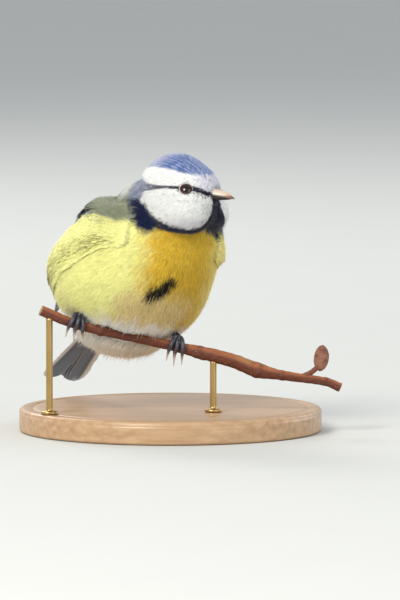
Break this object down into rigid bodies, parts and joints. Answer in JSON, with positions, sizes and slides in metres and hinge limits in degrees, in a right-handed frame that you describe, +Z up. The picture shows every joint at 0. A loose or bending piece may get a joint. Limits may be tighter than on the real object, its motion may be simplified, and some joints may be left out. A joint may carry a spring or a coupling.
{
  "type": "blue tit on a perch",
  "caption": "Life-size still model of a fluffed blue tit gripping a cut twig, held over a flat round base by short rods.",
  "frame": {"origin": "middle of the base's underside", "axes": "+Z up, +X along the perch to the bird's left, and the breast faces -Y, a little towards +X"},
  "size_m": [0.0981, 0.092, 0.0855],
  "materials": {
    "body_feathers": "soft yellow down with a grey-green back and a white vent",
    "collar_feathers": "soft navy feathers",
    "head_feathers": "short white feathers, an azure crown and a dark eye stripe",
    "wing_feathers": "blue vanes with pale edges and one white bar",
    "tail_feathers": "blue-grey vanes with pale edges",
    "horn": "satin horn",
    "eye": "wet gloss",
    "scuted_skin": "blue-grey scutes",
    "bark": "smooth reddish young bark",
    "base_wood": "satin varnish",
    "rod_metal": "brushed"
  },
  "bodies": {
    "root": {"torso": "body_feathers", "neck": "collar_feathers", "head": "head_feathers", "bill_upper": "horn", "bill_lower": "horn", "eye_left": "eye", "eye_right": "eye", "wing_left": "wing_feathers", "wing_right": "wing_feathers", "tail": "tail_feathers", "leg_left": "scuted_skin", "leg_right": "scuted_skin", "perch": "bark", "stand_base": "base_wood", "stand_rod_left": "rod_metal", "stand_rod_right": "rod_metal"}
  },
  "joints": []
}
